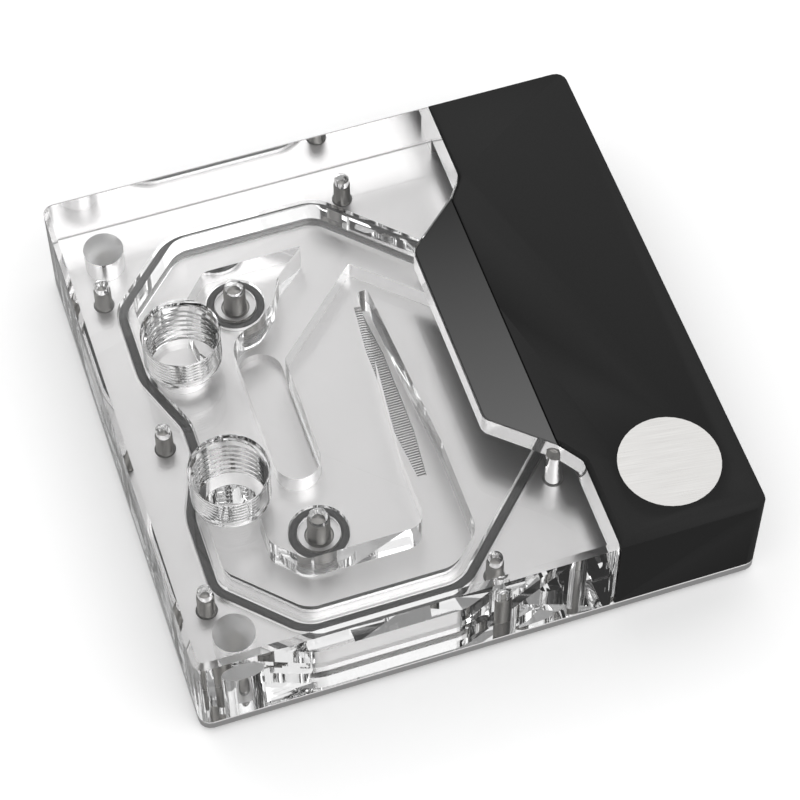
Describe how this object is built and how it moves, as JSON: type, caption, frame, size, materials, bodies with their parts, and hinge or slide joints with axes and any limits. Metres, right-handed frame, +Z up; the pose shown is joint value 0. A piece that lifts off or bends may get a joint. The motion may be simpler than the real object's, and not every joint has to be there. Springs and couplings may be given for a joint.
{
  "type": "cpu water block",
  "caption": "Flat square liquid cooling block: nickel plated cold plate, clear acrylic top with threaded ports and milled flow chamber, black side cover.",
  "frame": {"origin": "centre of the contact pad's underside, below the middle of the block", "axes": "+Z up through the block, +X from the ports to the black cover, +Y to the far edge"},
  "size_m": [0.0948, 0.0942, 0.0216],
  "materials": {
    "nickel_plate": "satin nickel plating on copper",
    "clear_acrylic": "clear cast acrylic, polished",
    "screw_steel": "stainless steel, bright",
    "insert_steel": "sheet with the same satin plating as the cold plate",
    "seal_rubber": "matte black",
    "black_cover": "fine matte black",
    "tongue_black": "satin black, fine brushed",
    "brushed_disc": "brushed along one direction"
  },
  "bodies": {
    "root": {"badge_disc": "brushed_disc", "base_plate": "nickel_plate", "cover": "black_cover", "cover_screw_right_far": "screw_steel", "cover_screw_right_mid": "screw_steel", "cover_screw_right_near": "screw_steel", "cover_screw_step_far": "screw_steel", "cover_screw_step_near": "screw_steel", "jet_insert": "insert_steel", "main_seal": "seal_rubber", "mount_stud_left_far": "screw_steel", "mount_stud_left_near": "screw_steel", "mount_stud_right_far": "screw_steel", "mount_stud_right_near": "screw_steel", "pillar_screw_far": "screw_steel", "pillar_screw_near": "screw_steel", "pillar_seal_far": "seal_rubber", "pillar_seal_near": "seal_rubber", "tongue_plate": "tongue_black", "top_block": "clear_acrylic", "top_screw_left_far": "screw_steel", "top_screw_left_near": "screw_steel", "top_screw_mid_far": "screw_steel", "top_screw_mid_near": "screw_steel", "top_screw_waist": "screw_steel"}
  },
  "joints": []
}
